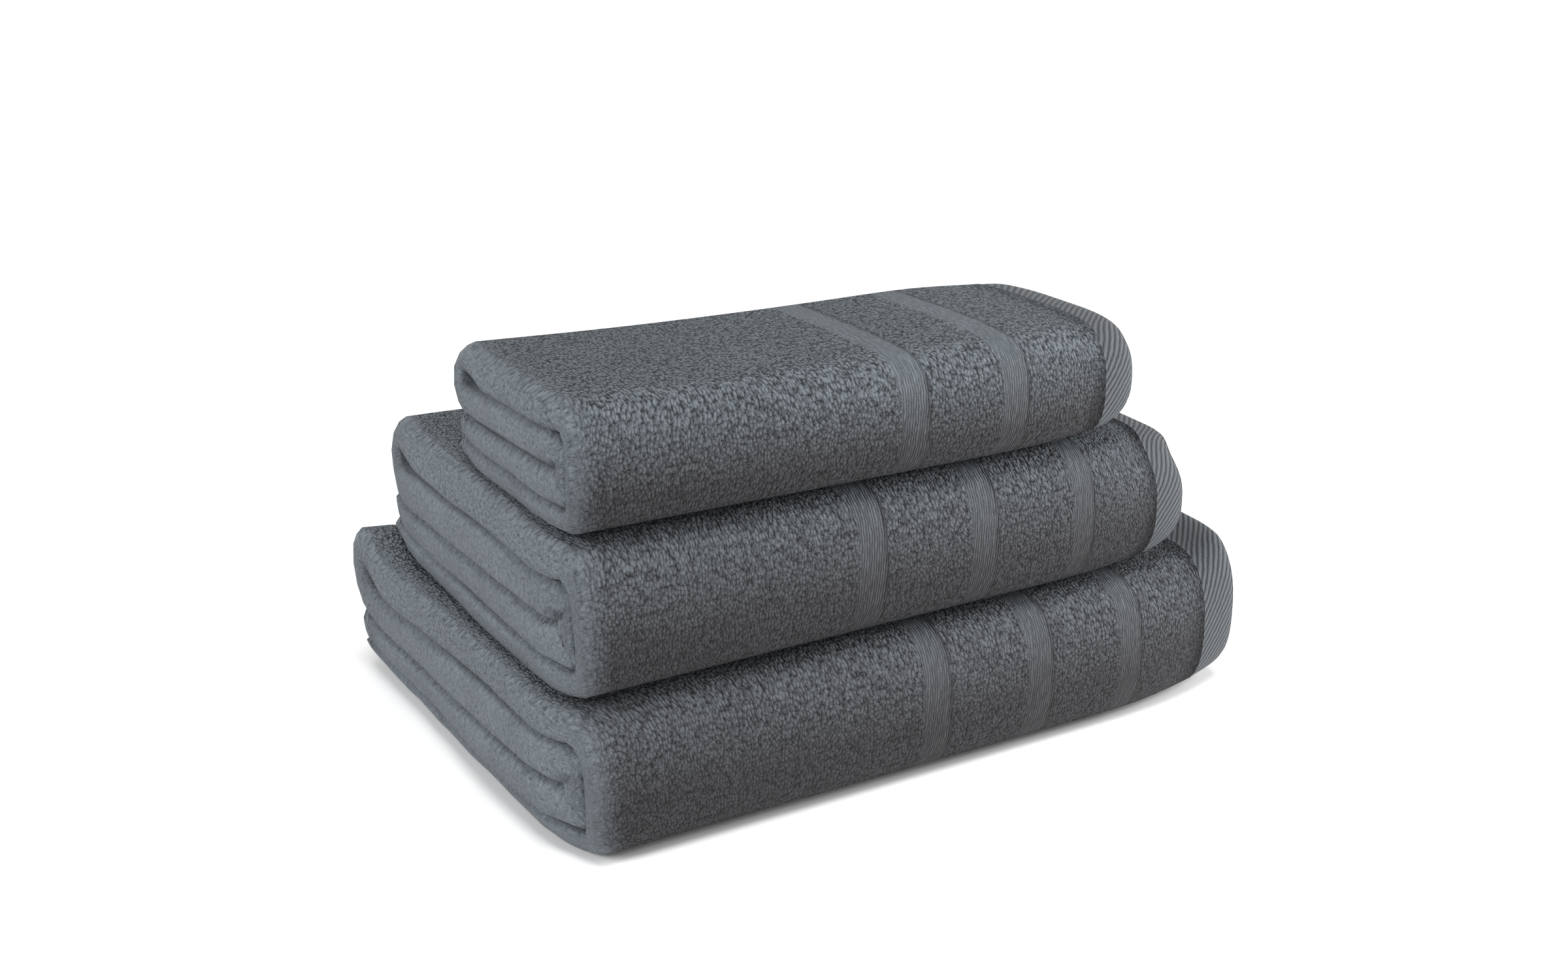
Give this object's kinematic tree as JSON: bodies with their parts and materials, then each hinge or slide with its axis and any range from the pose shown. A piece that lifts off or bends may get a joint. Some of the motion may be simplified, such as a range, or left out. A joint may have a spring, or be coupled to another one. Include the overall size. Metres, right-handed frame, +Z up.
{
  "type": "bath towel set",
  "caption": "Stack of folded terry towels in graded sizes, with flat woven border bands and sewn hems; each towel lifts off the one below.",
  "frame": {"origin": "on the floor, under the middle of the stack's bounding box", "axes": "+X along the towels' front folds towards their hemmed ends, -Y towards the front folds, +Z up"},
  "size_m": [0.3808, 0.258, 0.2041],
  "materials": {
    "pile_cloth": "cotton terry, looped pile on both faces, slate grey",
    "flat_weave_hem": "cotton flat weave with diagonal ribs, doubled and sewn",
    "sewing_thread": "matt polyester thread in the cloth's colour"
  },
  "bodies": {
    "bath_sheet": {"bath_sheet_pile_cloth": "pile_cloth", "bath_sheet_outer_end_hem": "flat_weave_hem", "bath_sheet_outer_end_hem_thread": "sewing_thread", "bath_sheet_inner_end_hem": "flat_weave_hem", "bath_sheet_inner_end_hem_thread": "sewing_thread", "bath_sheet_outer_side_hem": "flat_weave_hem", "bath_sheet_inner_side_hem": "flat_weave_hem"},
    "bath_towel": {"bath_towel_pile_cloth": "pile_cloth", "bath_towel_outer_end_hem": "flat_weave_hem", "bath_towel_outer_end_hem_thread": "sewing_thread", "bath_towel_inner_end_hem": "flat_weave_hem", "bath_towel_inner_end_hem_thread": "sewing_thread", "bath_towel_outer_side_hem": "flat_weave_hem", "bath_towel_inner_side_hem": "flat_weave_hem"},
    "hand_towel": {"hand_towel_pile_cloth": "pile_cloth", "hand_towel_outer_end_hem": "flat_weave_hem", "hand_towel_outer_end_hem_thread": "sewing_thread", "hand_towel_inner_end_hem": "flat_weave_hem", "hand_towel_inner_end_hem_thread": "sewing_thread", "hand_towel_outer_side_hem": "flat_weave_hem", "hand_towel_inner_side_hem": "flat_weave_hem"}
  },
  "joints": [
    {"name": "bath_towel_lift", "type": "slide", "parent": "bath_sheet", "child": "bath_towel", "axis": [0, 0, 1], "range_m": [0, 0.25]},
    {"name": "hand_towel_lift", "type": "slide", "parent": "bath_towel", "child": "hand_towel", "axis": [0, 0, 1], "range_m": [0, 0.25]}
  ]
}
